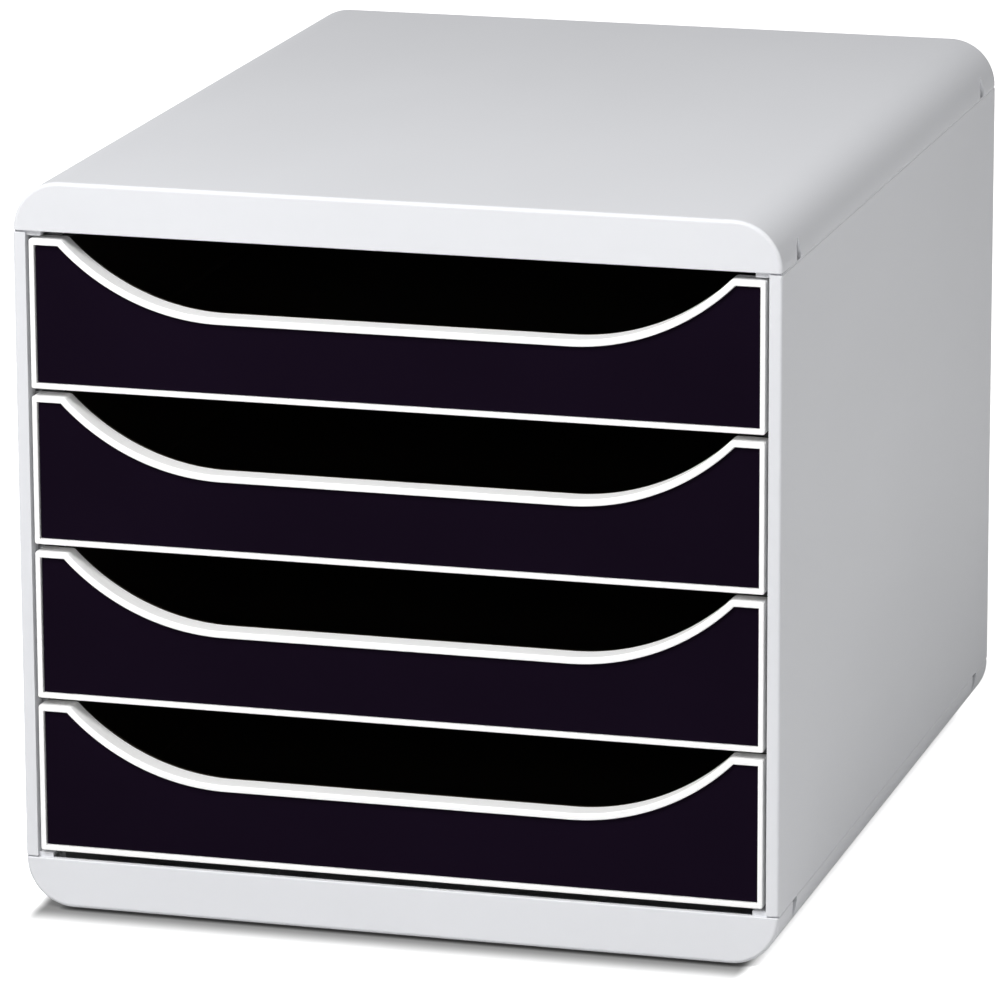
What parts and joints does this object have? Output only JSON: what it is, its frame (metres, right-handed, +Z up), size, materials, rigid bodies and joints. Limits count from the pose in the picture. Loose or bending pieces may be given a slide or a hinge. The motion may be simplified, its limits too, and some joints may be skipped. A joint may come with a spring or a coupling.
{
  "type": "letter tray stack with drawers",
  "caption": "Desktop casing with rounded long edges and a stack of pull-out letter drawers, each with a scooped front in a contrasting frame.",
  "frame": {"origin": "on the surface the stack stands on, below the middle of the casing", "axes": "+X to the right seen from the front, +Y from front to back, +Z up; the drawers pull out along -Y"},
  "size_m": [0.278, 0.347, 0.267],
  "materials": {
    "casing": "light grey moulded polystyrene with a fine satin texture",
    "frame": "off-white moulded polystyrene, smooth satin",
    "panel": "black moulded polystyrene, satin gloss",
    "tray": "black moulded polystyrene, matt",
    "foot": "dark soft rubber"
  },
  "bodies": {
    "casing": {"top_cap": "casing", "bottom_cap": "casing", "side_panel_left": "casing", "side_panel_right": "casing", "back_panel": "casing", "foot_front_left": "foot", "foot_front_right": "foot", "foot_rear_left": "foot", "foot_rear_right": "foot"},
    "drawer_1": {"drawer_tray_1": "tray", "front_frame_1": "frame", "front_panel_1": "panel"},
    "drawer_2": {"drawer_tray_2": "tray", "front_frame_2": "frame", "front_panel_2": "panel"},
    "drawer_3": {"drawer_tray_3": "tray", "front_frame_3": "frame", "front_panel_3": "panel"},
    "drawer_4": {"drawer_tray_4": "tray", "front_frame_4": "frame", "front_panel_4": "panel"}
  },
  "joints": [
    {"name": "drawer_1_slide", "type": "slide", "parent": "casing", "child": "drawer_1", "axis": [0, -1, 0], "range_m": [0, 0.26]},
    {"name": "drawer_2_slide", "type": "slide", "parent": "casing", "child": "drawer_2", "axis": [0, -1, 0], "range_m": [0, 0.26]},
    {"name": "drawer_3_slide", "type": "slide", "parent": "casing", "child": "drawer_3", "axis": [0, -1, 0], "range_m": [0, 0.26]},
    {"name": "drawer_4_slide", "type": "slide", "parent": "casing", "child": "drawer_4", "axis": [0, -1, 0], "range_m": [0, 0.26]}
  ]
}
